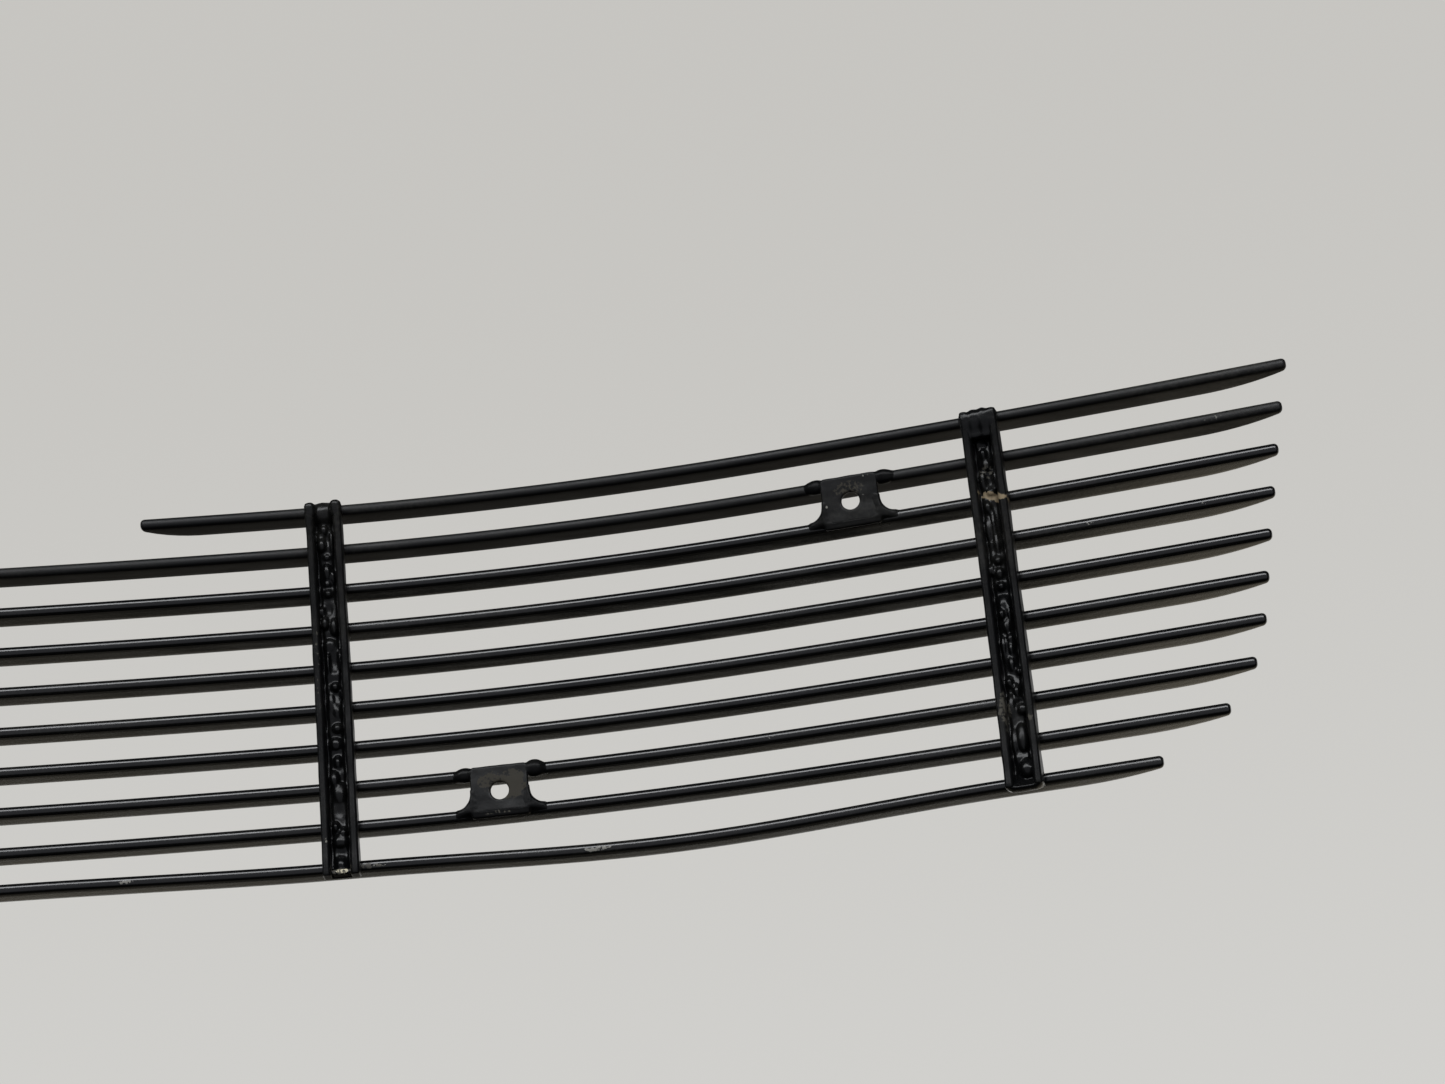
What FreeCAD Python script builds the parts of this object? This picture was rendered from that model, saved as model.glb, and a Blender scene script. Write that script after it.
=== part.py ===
"""Front grille guard: horizontal bars welded to upright channels, with bolt tabs on the back.

Millimetres. +X is along the bars, -Y is the front of the grille, +Y its back, +Z is up.
The origin is at the middle of the guard's bounding box in X and Y, on its lowest point.
"""
import FreeCAD
import Part
import math
import os

Vec = FreeCAD.Vector

# Bars: flat bar with rounded long edges, stacked in level rows
ROWS = 10
PITCH = 16.0
BAR_THICK = 4.4
BAR_DEPTH = 14.0
BAR_EDGE_RADIUS = 2.0

# Plan shape of each bar's back edge, from the middle outwards: (arc radius, arc length)
CENTRE_ARC = (2200.0, 110.0)
SHOULDER_ARC = (720.0, 190.0)
WING_ARC = (2900.0, 260.0)
PLAN_ARCS = (CENTRE_ARC, SHOULDER_ARC, WING_ARC)

# The face also bulges to the front from top to bottom
FACE_RADIUS = 714.0

# Ends of the rows: a leaning side line with a round lower corner
TOP_HALF_LENGTH = 505.5
SIDE_LEAN = 0.215
CORNER_RADIUS = 50.0
TOP_GAP_HALF = 54.5

# Each bar's front edge sweeps back to a narrow tip
OUTER_TAPER = 34.0
INNER_TAPER = 23.0
TIP_DEPTH = 4.2

# The lowest bar waves a little in height between its supports
BOW_DOWN = 3.1
BOW_UP = 1.5

# Upright channels, open to the back
CHANNEL_AT = (127.0, 389.5)
CHANNEL_WIDTH = 14.0
CHANNEL_DEPTH = 8.0
CHANNEL_WEB = 2.0
CHANNEL_FLANGE = 3.3
CHANNEL_BELOW = 2.5
CHANNEL_RIM_RADIUS = 1.5
SEAT_GAP = 0.05

# Plug welds through the channel webs
PLUG_RADIUS = 2.2
PLUG_REACH = 1.2
DOME_RADIUS = 3.2
DOME_HEIGHT = 2.4
TOP_PLUG_DROP = 1.5

# Bolt tabs: arc length from the middle, and the row above each tab
TAB_PLACES = {"lower_inner": (188.5, 8), "upper_outer": (335.0, 2)}
TAB_WIDTH = 22.4
TAB_THICK = 2.0
TAB_OVER_LOWER_BAR = 2.8
TAB_CORNER_RADIUS = 1.0
TAB_HOLE_RADIUS = 3.5

# Corner welds between a tab and its bars: flared on the lower bar, lobes on the upper bar
WELD_FLARE = 5.6
WELD_RISE = 6.3
WELD_HOLLOW = 0.3
WELD_THICK = 2.6
LOBE_OUT = 5.2
LOBE_ABOVE = 1.2
LOBE_LOW = 2.4

SIDES = {"left": -1, "right": 1}

MID_HEIGHT = (ROWS - 1) * PITCH / 2
BOTTOM_ROW_Z = -MID_HEIGHT


def row_z(row):
    """Height of a row's centre above the middle of the face; row 1 is the top."""
    return MID_HEIGHT - (row - 1) * PITCH


def face_set_back(z):
    """How far the face lies behind its foremost point at height z."""
    return FACE_RADIUS - math.sqrt(FACE_RADIUS ** 2 - z ** 2)


def half_length(row):
    """Arc length from the middle to the tip of a row, on the guard's end outline."""
    z = row_z(row)
    length = TOP_HALF_LENGTH - SIDE_LEAN * (MID_HEIGHT - z)
    corner_centre_z = BOTTOM_ROW_Z - BAR_THICK / 2 + CORNER_RADIUS
    below = corner_centre_z - z
    if below > 0:
        length -= CORNER_RADIUS - math.sqrt(CORNER_RADIUS ** 2 - below ** 2)
    return length


def plan_point(s, forward=0.0):
    """Plan position and heading at arc length s along the back edge, moved forward of it."""
    x, y, heading, left = 0.0, 0.0, 0.0, abs(s)
    for radius, arc_length in PLAN_ARCS:
        step = min(left, arc_length)
        turned = heading + step / radius
        x += radius * (math.sin(turned) - math.sin(heading))
        y += radius * (math.cos(heading) - math.cos(turned))
        heading = turned
        left -= step
        if left <= 0:
            break
    x += forward * math.sin(heading)
    y -= forward * math.cos(heading)
    side = -1 if s < 0 else 1
    return side * x, y, side * heading


def plan_vec(s, forward=0.0):
    x, y, _ = plan_point(s, forward)
    return Vec(x, y, 0)


def edge_arcs(start, end, forward):
    """Arcs of the plan outline from arc length start to end, one for each plan radius."""
    joints = [0.0]
    for _, arc_length in PLAN_ARCS:
        joints.append(joints[-1] + arc_length)
    stops = {start, end}
    for joint in joints[1:-1]:
        stops.update(s for s in (-joint, joint) if min(start, end) < s < max(start, end))
    stops = sorted(stops, reverse=start > end)
    return [three_point_arc(plan_vec(a, forward), plan_vec((a + b) / 2, forward), plan_vec(b, forward))
            for a, b in zip(stops, stops[1:])]


def three_point_arc(a, b, c):
    return Part.Arc(a, b, c).toShape()


def taper_arc(tip, length):
    """Front edge that sweeps back to the tip; length is signed, from the full depth to the tip."""
    drop = BAR_DEPTH - TIP_DEPTH
    radius = (length ** 2 + drop ** 2) / (2 * drop)
    half = length / 2
    half_drop = radius - math.sqrt(radius ** 2 - half ** 2)
    return [plan_vec(tip - length, BAR_DEPTH),
            plan_vec(tip - half, BAR_DEPTH - half_drop),
            plan_vec(tip, TIP_DEPTH)]


def bar_outline(start, end, start_taper, end_taper):
    """Closed plan outline of a bar between two arc lengths."""
    near = taper_arc(start, -start_taper)
    far = taper_arc(end, end_taper)
    edges = edge_arcs(start, end, 0.0)
    edges.append(Part.makeLine(plan_vec(end), far[2]))
    edges.append(three_point_arc(far[2], far[1], far[0]))
    edges += edge_arcs(end - end_taper, start + start_taper, BAR_DEPTH)
    edges.append(three_point_arc(near[0], near[1], near[2]))
    edges.append(Part.makeLine(near[2], plan_vec(start)))
    return Part.Face(Part.Wire(edges))


def round_rims(solid):
    """Rounds the long edges on the top and underside of a bar."""
    rims = [e for e in solid.Edges if abs(e.tangentAt(e.FirstParameter).z) < 0.5]
    return solid.makeFillet(BAR_EDGE_RADIUS, rims)


def straight_bar(row, start, end, start_taper, end_taper):
    face = bar_outline(start, end, start_taper, end_taper)
    face.translate(Vec(0, face_set_back(row_z(row)), row_z(row) - BAR_THICK / 2))
    return round_rims(face.extrude(Vec(0, 0, BAR_THICK)))


def bow_at(x):
    """Height change of the lowest bar at x."""
    inner, outer = (plan_point(at)[0] for at in CHANNEL_AT)
    if abs(x) < inner:
        return BOW_UP * math.cos(math.pi * x / (2 * inner)) ** 2
    if abs(x) < outer:
        return -BOW_DOWN * math.sin(math.pi * (abs(x) - inner) / (outer - inner)) ** 2
    return 0.0


def bowed_bar(row, start, end, start_taper, end_taper):
    """A bar cut from a tall plan block by a band that follows the bow."""
    face = bar_outline(start, end, start_taper, end_taper)
    reach = 3 * BAR_THICK
    face.translate(Vec(0, face_set_back(row_z(row)), row_z(row) - reach))
    block = face.extrude(Vec(0, 0, 2 * reach))
    half_span = plan_point(end)[0] + BAR_DEPTH
    steps = 48
    line = [Vec(half_span * (2 * i / steps - 1), 0, 0) for i in range(steps + 1)]
    line = [Vec(p.x, -half_span, row_z(row) + bow_at(p.x)) for p in line]
    curve = Part.BSplineCurve()
    curve.interpolate(line)
    low = curve.toShape()
    low.translate(Vec(0, 0, -BAR_THICK / 2))
    band = low.extrude(Vec(0, 0, BAR_THICK)).extrude(Vec(0, 2 * half_span, 0))
    return round_rims(block.common(band).Solids[0])


def local_frame(s, z):
    """Placement on the back of the bars: X along them, Y out of the back, Z up the face."""
    x, y, heading = plan_point(s)
    along = Vec(math.cos(heading), math.sin(heading), 0)
    slope = math.cos(heading) * z / math.sqrt(FACE_RADIUS ** 2 - z ** 2)
    level_out = Vec(-math.sin(heading), math.cos(heading), 0)
    up = (Vec(0, 0, 1) + level_out * slope).normalize()
    out = up.cross(along)
    turn = FreeCAD.Rotation(along, out, up, "ZXY")
    return FreeCAD.Placement(Vec(x, y + face_set_back(z), z), turn)


def channel(side, at):
    """U-channel bent to the face, with a plug hole at each bar."""
    top = row_z(1) + BAR_THICK / 2
    bottom = BOTTOM_ROW_Z - BAR_THICK / 2 - CHANNEL_BELOW
    x, y, heading = plan_point(side * at)
    radius = FACE_RADIUS / math.cos(heading)
    half = CHANNEL_WIDTH / 2
    inner = half - CHANNEL_FLANGE

    def shell(x_from, x_to, y_from, y_to):
        """Part of a tall ring about a level axis behind the face, kept between the ends."""
        ring_outer = Part.makeCylinder(radius - y_from, x_to - x_from, Vec(x_from, radius, 0), Vec(1, 0, 0))
        ring_inner = Part.makeCylinder(radius - y_to, x_to - x_from, Vec(x_from, radius, 0), Vec(1, 0, 0))
        window = Part.makeBox(x_to - x_from, 4 * CHANNEL_DEPTH, top - bottom,
                              Vec(x_from, -CHANNEL_DEPTH, bottom))
        return ring_outer.cut(ring_inner).common(window)

    body = shell(-half, half, SEAT_GAP, CHANNEL_DEPTH)
    trough = shell(-inner, inner, SEAT_GAP + CHANNEL_WEB, CHANNEL_DEPTH + CHANNEL_WEB)
    body = body.cut(trough)
    rims = [e for e in body.Edges if is_rim(e, radius)]
    body = body.makeFillet(CHANNEL_RIM_RADIUS, rims)
    body.Placement = FreeCAD.Placement(Vec(x, y, 0), FreeCAD.Rotation(Vec(0, 0, 1), math.degrees(heading)))
    for row in range(1, ROWS + 1):
        hole = Part.makeCylinder(PLUG_RADIUS, CHANNEL_DEPTH, Vec(0, -CHANNEL_DEPTH / 2, 0), Vec(0, 1, 0))
        hole.Placement = plug_frame(side, at, row).multiply(hole.Placement)
        body = body.cut(hole)
    return body


def is_rim(edge, radius):
    """True for the four long edges of a channel's open side."""
    middle = edge.valueAt((edge.FirstParameter + edge.LastParameter) / 2)
    depth = radius - math.hypot(middle.y - radius, middle.z)
    return edge.BoundBox.ZLength > PITCH and depth > CHANNEL_DEPTH - CHANNEL_WEB


def plug_frame(side, at, row):
    """Where a plug weld sits; the top one is lower than its bar, clear of the channel's end."""
    drop = TOP_PLUG_DROP if row == 1 else 0.0
    return local_frame(side * at, row_z(row) - drop)


def plug_weld(side, at, row, bar):
    """Weld metal that fills one web hole, rests on the bar and domes up inside the channel."""
    web_back = SEAT_GAP + CHANNEL_WEB
    plug = Part.makeCylinder(PLUG_RADIUS, web_back + PLUG_REACH, Vec(0, -PLUG_REACH, 0), Vec(0, 1, 0))
    ball_radius = (DOME_RADIUS ** 2 + DOME_HEIGHT ** 2) / (2 * DOME_HEIGHT)
    ball = Part.makeSphere(ball_radius, Vec(0, web_back + DOME_HEIGHT - ball_radius, 0))
    above_web = Part.makeBox(2 * DOME_RADIUS, DOME_RADIUS, 2 * DOME_RADIUS,
                             Vec(-DOME_RADIUS, web_back, -DOME_RADIUS))
    weld = plug.fuse(ball.common(above_web)).removeSplitter()
    weld.Placement = plug_frame(side, at, row)
    return weld.cut(bar).Solids[0]


def tab_frame(side, name):
    s, row = TAB_PLACES[name]
    return local_frame(side * s, row_z(row) - PITCH / 2)


def tab(side, name):
    """Plate over the backs of two bars, with one bolt hole."""
    low = -PITCH / 2 + BAR_THICK / 2 - TAB_OVER_LOWER_BAR
    high = PITCH / 2 + BAR_THICK / 2
    plate = Part.makeBox(TAB_WIDTH, TAB_THICK, high - low, Vec(-TAB_WIDTH / 2, SEAT_GAP, low))
    corners = [e for e in plate.Edges if abs(e.tangentAt(e.FirstParameter).y) > 0.5]
    plate = plate.makeFillet(TAB_CORNER_RADIUS, corners)
    hole = Part.makeCylinder(TAB_HOLE_RADIUS, 2 * BAR_DEPTH, Vec(0, -BAR_DEPTH, 0), Vec(0, 1, 0))
    plate = plate.cut(hole)
    plate.Placement = tab_frame(side, name)
    return plate


def weld_block(outline_edges):
    """Weld metal with the given outline, from just inside the bars to the back of the plate."""
    block = Part.Face(Part.Wire(outline_edges)).extrude(Vec(0, WELD_THICK, 0))
    block.translate(Vec(0, SEAT_GAP + TAB_THICK - WELD_THICK, 0))
    return block


def flared_weld(hand):
    """Concave corner weld that spreads from the tab's side along the lower bar."""
    inner = hand * (TAB_WIDTH / 2 - TAB_CORNER_RADIUS)
    edge = hand * TAB_WIDTH / 2
    outer = hand * (TAB_WIDTH / 2 + WELD_FLARE)
    foot = -PITCH / 2
    bar_top = foot + BAR_THICK / 2
    peak = bar_top + WELD_RISE
    hollow = Vec(edge + hand * WELD_FLARE * WELD_HOLLOW, 0, bar_top + WELD_RISE * WELD_HOLLOW)
    return weld_block([
        Part.makeLine(Vec(inner, 0, foot), Vec(inner, 0, peak)),
        Part.makeLine(Vec(inner, 0, peak), Vec(edge, 0, peak)),
        three_point_arc(Vec(edge, 0, peak), hollow, Vec(outer, 0, bar_top)),
        Part.makeLine(Vec(outer, 0, bar_top), Vec(outer, 0, foot)),
        Part.makeLine(Vec(outer, 0, foot), Vec(inner, 0, foot))])


def lobe_weld(hand):
    """Round-ended weld that wraps the upper bar beside the tab."""
    inner = hand * (TAB_WIDTH / 2 - TAB_CORNER_RADIUS)
    outer = hand * (TAB_WIDTH / 2 + LOBE_OUT)
    middle = hand * (TAB_WIDTH / 2 + LOBE_OUT / 2)
    bar_mid = PITCH / 2
    bar_top = bar_mid + BAR_THICK / 2
    low = bar_mid - LOBE_LOW
    return weld_block([
        Part.makeLine(Vec(inner, 0, low), Vec(inner, 0, bar_top)),
        three_point_arc(Vec(inner, 0, bar_top), Vec(middle, 0, bar_top + LOBE_ABOVE), Vec(outer, 0, bar_mid)),
        three_point_arc(Vec(outer, 0, bar_mid), Vec(middle, 0, low - LOBE_ABOVE), Vec(inner, 0, low))])


def tab_welds(side, name, plate, bars):
    """Two flared welds on the lower bar and two lobes on the upper bar."""
    placed = []
    for hand in (-1, 1):
        for weld in (flared_weld(hand), lobe_weld(hand)):
            weld.Placement = tab_frame(side, name).multiply(weld.Placement)
            for other in [plate] + bars:
                weld = weld.cut(other)
            placed.append(max(weld.Solids, key=lambda solid: solid.Volume))
    return placed


def build():
    """All nodes by name, before the origin is set."""
    bars = {}
    top = half_length(1)
    bars["top_bar_left"] = straight_bar(1, -top, -TOP_GAP_HALF, OUTER_TAPER, INNER_TAPER)
    bars["top_bar_right"] = straight_bar(1, TOP_GAP_HALF, top, INNER_TAPER, OUTER_TAPER)
    for row in range(2, ROWS + 1):
        make = bowed_bar if row == ROWS else straight_bar
        end = half_length(row)
        bars["bar_row_%02d" % row] = make(row, -end, end, OUTER_TAPER, OUTER_TAPER)

    def bar_at(row, side_name):
        return bars["top_bar_" + side_name] if row == 1 else bars["bar_row_%02d" % row]

    nodes = dict(bars)
    for side_name, side in SIDES.items():
        for place, at in zip(("inner", "outer"), CHANNEL_AT):
            nodes["channel_%s_%s" % (place, side_name)] = channel(side, at)
            welds = [plug_weld(side, at, row, bar_at(row, side_name)) for row in range(1, ROWS + 1)]
            nodes["channel_welds_%s_%s" % (place, side_name)] = Part.makeCompound(welds)
        for name, (_, row) in TAB_PLACES.items():
            plate = tab(side, name)
            near_bars = [bar_at(row, side_name), bar_at(row + 1, side_name)]
            nodes["tab_%s_%s" % (name, side_name)] = plate
            nodes["tab_welds_%s_%s" % (name, side_name)] = Part.makeCompound(
                tab_welds(side, name, plate, near_bars))
    return nodes


def main():
    nodes = build()
    box = Part.makeCompound(list(nodes.values())).optimalBoundingBox(False)
    origin = Vec((box.XMin + box.XMax) / 2, (box.YMin + box.YMax) / 2, box.ZMin)
    os.makedirs("parts", exist_ok=True)
    for name, shape in nodes.items():
        shape.translate(-origin)
        shape.exportStep("parts/%s.step" % name)
        print(name, len(shape.Solids), "solids", "valid" if shape.isValid() else "NOT VALID",
              round(shape.Volume, 1), "mm3")
    print("origin", origin, "size", box.XLength, box.YLength, box.ZLength)


main()
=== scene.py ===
"""Looks of the front grille guard: coated bars, channels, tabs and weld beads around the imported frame.

Shapes are worked out in millimetres and go into the meshes in metres, in the row frame:
+X along the bars, -Y the front of the grille, +Y its back, +Z up.
"""

import math
import random

import bmesh
import bpy
import numpy as np
from mathutils import Matrix, Vector, noise

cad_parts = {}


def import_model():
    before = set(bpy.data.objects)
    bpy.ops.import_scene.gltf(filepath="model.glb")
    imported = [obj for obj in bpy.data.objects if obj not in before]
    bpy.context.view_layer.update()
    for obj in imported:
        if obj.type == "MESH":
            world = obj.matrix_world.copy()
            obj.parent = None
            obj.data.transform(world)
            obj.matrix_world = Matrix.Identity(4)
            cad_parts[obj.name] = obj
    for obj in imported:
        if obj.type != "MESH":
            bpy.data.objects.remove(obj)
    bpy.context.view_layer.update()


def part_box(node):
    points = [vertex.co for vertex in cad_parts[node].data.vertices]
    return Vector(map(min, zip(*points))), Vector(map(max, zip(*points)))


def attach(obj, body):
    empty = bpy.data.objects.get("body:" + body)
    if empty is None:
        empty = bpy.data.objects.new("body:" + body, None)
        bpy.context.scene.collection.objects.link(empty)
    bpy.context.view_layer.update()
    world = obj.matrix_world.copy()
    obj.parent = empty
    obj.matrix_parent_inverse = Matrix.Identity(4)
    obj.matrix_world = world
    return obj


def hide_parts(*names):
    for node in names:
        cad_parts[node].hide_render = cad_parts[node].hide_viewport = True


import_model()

MM = 0.001

# Rows of flat bar
ROWS = 10
PITCH = 16.0
BAR_THICK = 4.4
BAR_DEPTH = 14.0
BAR_EDGE_RADIUS = 2.0
MID_HEIGHT = (ROWS - 1) * PITCH / 2

# Plan shape of the bars' back edge, from the middle outwards: (arc radius, arc length)
PLAN_ARCS = ((2200.0, 110.0), (720.0, 190.0), (2900.0, 260.0))
FACE_RADIUS = 714.0

# Ends of the rows
TOP_HALF_LENGTH = 505.5
SIDE_LEAN = 0.215
CORNER_RADIUS = 50.0
TOP_GAP_HALF = 54.5
OUTER_TAPER = 34.0
INNER_TAPER = 23.0
TIP_DEPTH = 4.2
TIP_ROUND = 1.6
BAR_STEP = 4.0

# How far a bar's coat stays inside its solid, and the steps round one section's corners and flats
COAT_SHY = 0.006
CORNER_STEPS = 6
FLAT_STEPS = 4

# Wave in height of the lowest bar
BOW_DOWN = 3.1
BOW_UP = 1.5

# Upright channels
CHANNEL_AT = {"inner": 127.0, "outer": 389.5}
CHANNEL_WIDTH = 14.0
CHANNEL_DEPTH = 8.0
CHANNEL_WEB = 2.0
CHANNEL_FLANGE = 3.3
CHANNEL_BELOW = 2.5
SEAT_GAP = 0.05
CHANNEL_TOP = MID_HEIGHT + BAR_THICK / 2
CHANNEL_BOTTOM = -MID_HEIGHT - BAR_THICK / 2 - CHANNEL_BELOW
TROUGH_HALF = CHANNEL_WIDTH / 2 - CHANNEL_FLANGE
WEB_BACK = SEAT_GAP + CHANNEL_WEB

# Bolt tabs: arc length from the middle, and the row above each tab
TAB_PLACES = {"lower_inner": (188.5, 8), "upper_outer": (335.0, 2)}
TAB_WIDTH = 22.4
TAB_THICK = 2.0
TAB_OVER_LOWER_BAR = 2.8
TAB_HOLE_RADIUS = 3.5

SIDES = {"left": -1, "right": 1}


# Shape of the grille

def row_z(row):
    """Height of a row's centre above the middle of the face; row 1 is the top."""
    return MID_HEIGHT - (row - 1) * PITCH


def face_set_back(z):
    return FACE_RADIUS - math.sqrt(FACE_RADIUS ** 2 - z ** 2)


def half_length(row):
    """Arc length from the middle to the tip of a row."""
    z = row_z(row)
    length = TOP_HALF_LENGTH - SIDE_LEAN * (MID_HEIGHT - z)
    below = CORNER_RADIUS - MID_HEIGHT - BAR_THICK / 2 - z
    if below > 0:
        length -= CORNER_RADIUS - math.sqrt(CORNER_RADIUS ** 2 - below ** 2)
    return length


def plan_point(s):
    """Plan position, heading and arc radius at arc length s along the back edge."""
    x, y, heading, left = 0.0, 0.0, 0.0, abs(s)
    for radius, arc_length in PLAN_ARCS:
        step = min(left, arc_length)
        turned = heading + step / radius
        x += radius * (math.sin(turned) - math.sin(heading))
        y += radius * (math.cos(heading) - math.cos(turned))
        heading = turned
        left -= step
        if left <= 0:
            break
    side = -1 if s < 0 else 1
    return side * x, y, side * heading, radius


def middle_of_box():
    """Design coordinates of the row frame's origin, which is at the bottom centre of the box."""
    front = face_set_back(row_z(5)) - BAR_DEPTH
    back = plan_point(half_length(1))[1] + face_set_back(row_z(1))
    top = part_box("top_bar_left")[1].z / MM
    return np.array([0.0, (front + back) / 2, CHANNEL_TOP - top])


ORIGIN = middle_of_box()


def bow_at(x):
    """Height change of the lowest bar at x."""
    inner, outer = (plan_point(at)[0] for at in CHANNEL_AT.values())
    x = np.abs(x)
    up = BOW_UP * np.cos(np.pi * x / (2 * inner)) ** 2
    down = -BOW_DOWN * np.sin(np.pi * (x - inner) / (outer - inner)) ** 2
    return np.where(x < inner, up, np.where(x < outer, down, 0.0))


def on_channel(side, place):
    """Function that takes points from a straight channel to its place on the curved back."""
    x0, y0, heading, _ = plan_point(side * CHANNEL_AT[place])
    radius = FACE_RADIUS / math.cos(heading)

    def put(points):
        x, y, z = points.T
        back = radius - np.sqrt((radius - y) ** 2 - z ** 2)
        turned_x = x0 + x * math.cos(heading) - back * math.sin(heading)
        turned_y = y0 + x * math.sin(heading) + back * math.cos(heading)
        return np.stack([turned_x, turned_y, z], axis=1) - ORIGIN
    return put


def on_tab(side, name):
    """Function that takes points from a flat tab at the origin to its place on two bars."""
    s, row = TAB_PLACES[name]
    z = row_z(row) - PITCH / 2
    x0, y0, heading, bend = plan_point(side * s)
    slope = math.cos(heading) * z / math.sqrt(FACE_RADIUS ** 2 - z ** 2)
    along = Vector((math.cos(heading), math.sin(heading), 0))
    up = (Vector((0, 0, 1)) + Vector((-math.sin(heading), math.cos(heading), 0)) * slope).normalized()
    turn = np.array([along, up.cross(along), up])
    start = np.array([x0, y0 + face_set_back(z), z]) - ORIGIN

    def put(points):
        bent = points.copy()
        bent[:, 1] += points[:, 0] ** 2 / (2 * bend)
        return bent @ turn + start
    return put


# Mesh making

def new_piece(name, points, faces, flat_faces=()):
    """Mesh object from points in millimetres, smooth apart from the faces listed as flat."""
    mesh = bpy.data.meshes.new(name)
    mesh.from_pydata((points * MM).tolist(), [], faces)
    work = bmesh.new()
    work.from_mesh(mesh)
    bmesh.ops.recalc_face_normals(work, faces=work.faces[:])
    work.to_mesh(mesh)
    work.free()
    smooth = np.ones(len(mesh.polygons), bool)
    smooth[list(flat_faces)] = False
    mesh.polygons.foreach_set("use_smooth", smooth)
    piece = bpy.data.objects.new(name, mesh)
    bpy.context.scene.collection.objects.link(piece)
    return piece


def roughen(piece, amount, wavelength, seed):
    """Moves each point along its normal by smooth noise, amount in millimetres."""
    mesh = piece.data
    shift = Vector((seed * 7.3, seed * 3.1, seed * 5.7))
    normals = [corner.vector.copy() for corner in mesh.vertex_normals]
    for vertex, normal in zip(mesh.vertices, normals):
        height = noise.noise(vertex.co / (wavelength * MM) + shift)
        vertex.co += normal * (amount * MM * height)
    mesh.update()


def tube(rings):
    """Points and faces of a closed tube through equal loops; the last two faces are its flat ends."""
    count = len(rings[0])
    faces = []
    for i in range(len(rings) - 1):
        for j in range(count):
            a, b = i * count + j, i * count + (j + 1) % count
            faces.append((a, b, b + count, a + count))
    last = (len(rings) - 1) * count
    faces.append(tuple(range(count)))
    faces.append(tuple(range(last, last + count)))
    return np.concatenate(rings), faces


def rounded_loop(corners, arc_steps, flat_steps):
    """Loop through (x, y, radius) corners, anticlockwise, and its outward normals."""
    points, normals = [], []
    for i, (x, y, radius) in enumerate(corners):
        here = Vector((x, y))
        before = (here - Vector(corners[i - 1][:2])).normalized()
        after = (Vector(corners[(i + 1) % len(corners)][:2]) - here).normalized()
        turn = -before.angle_signed(after)
        tangent = radius * math.tan(abs(turn) / 2)
        hand = 1 if turn > 0 else -1
        centre = here - before * tangent + Vector((-before.y, before.x)) * radius * hand
        for k in range(arc_steps + 1):
            angle = turn * k / arc_steps
            normal = Matrix.Rotation(angle, 2) @ Vector((before.y, -before.x))
            points.append(centre + normal * radius * hand)
            normals.append(normal)
        flat_start = here + after * tangent
        following = corners[(i + 1) % len(corners)]
        flat_end = Vector(following[:2]) - after * corner_tangent(corners, (i + 1) % len(corners))
        for k in range(1, flat_steps):
            points.append(flat_start.lerp(flat_end, k / flat_steps))
            normals.append(Vector((after.y, -after.x)))
    return np.array(points), np.array(normals)


def corner_tangent(corners, i):
    """Length from a corner to the start of its arc."""
    here = Vector(corners[i][:2])
    before = here - Vector(corners[i - 1][:2])
    after = Vector(corners[(i + 1) % len(corners)][:2]) - here
    return corners[i][2] * math.tan(before.angle(after) / 2)


def skin(field, start, step):
    """Closed skin where a sampled field crosses zero, with one point in each cell that it cuts."""
    inside = field < 0
    size = np.array(field.shape) - 1
    corners = [(i, j, k) for i in (0, 1) for j in (0, 1) for k in (0, 1)]

    def at_corner(values, corner):
        return values[tuple(slice(c, c + n) for c, n in zip(corner, size))]

    filled = sum(at_corner(inside, corner).astype(int) for corner in corners)
    cut = (filled > 0) & (filled < 8)
    index = np.full(size, -1)
    index[cut] = np.arange(cut.sum())
    total = np.zeros((cut.sum(), 3))
    crossings = np.zeros(cut.sum())
    for axis in range(3):
        for corner in corners:
            if corner[axis]:
                continue
            beyond = tuple(c + (a == axis) for a, c in enumerate(corner))
            low, high = at_corner(field, corner)[cut], at_corner(field, beyond)[cut]
            crosses = (low < 0) != (high < 0)
            share = np.where(crosses, low / np.where(crosses, low - high, 1), 0)
            place = np.tile(np.array(corner, float), (len(low), 1))
            place[:, axis] += share
            total += place * crosses[:, None]
            crossings += crosses
    cells = np.argwhere(cut)
    points = (cells + total / crossings[:, None]) * step + np.array(start)
    faces = []
    for axis in range(3):
        u, v = (axis + 1) % 3, (axis + 2) % 3
        ahead = np.roll(inside, -1, axis)
        changes = inside != ahead
        changes[tuple(slice(-1, None) if a == axis else slice(None) for a in range(3))] = False
        for edge in np.argwhere(changes):
            if edge[u] == 0 or edge[v] == 0:
                continue
            quad = []
            for back_u, back_v in ((1, 1), (0, 1), (0, 0), (1, 0)):
                cell = edge.copy()
                cell[u] -= back_u
                cell[v] -= back_v
                quad.append(int(index[tuple(cell)]))
            faces.append(quad)
    return points, faces


# Fields: distance to a shape, negative inside

def sample_grid(low, high, step):
    axes = [np.arange(a, b + step, step) for a, b in zip(low, high)]
    return np.stack(np.meshgrid(*axes, indexing="ij"))


def smooth_min(a, b, blend):
    share = np.clip(0.5 + 0.5 * (b - a) / blend, 0, 1)
    return b + (a - b) * share - blend * share * (1 - share)


def smooth_max(a, b, blend):
    return -smooth_min(-a, -b, blend)


def ellipsoid(grid, centre, radii):
    away = [(g - c) / r for g, c, r in zip(grid, centre, radii)]
    near = np.sqrt(sum(a ** 2 for a in away)) + 1e-6
    slope = np.sqrt(sum((a / r) ** 2 for a, r in zip(away, radii))) + 1e-6
    return near * (near - 1) / slope


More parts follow.
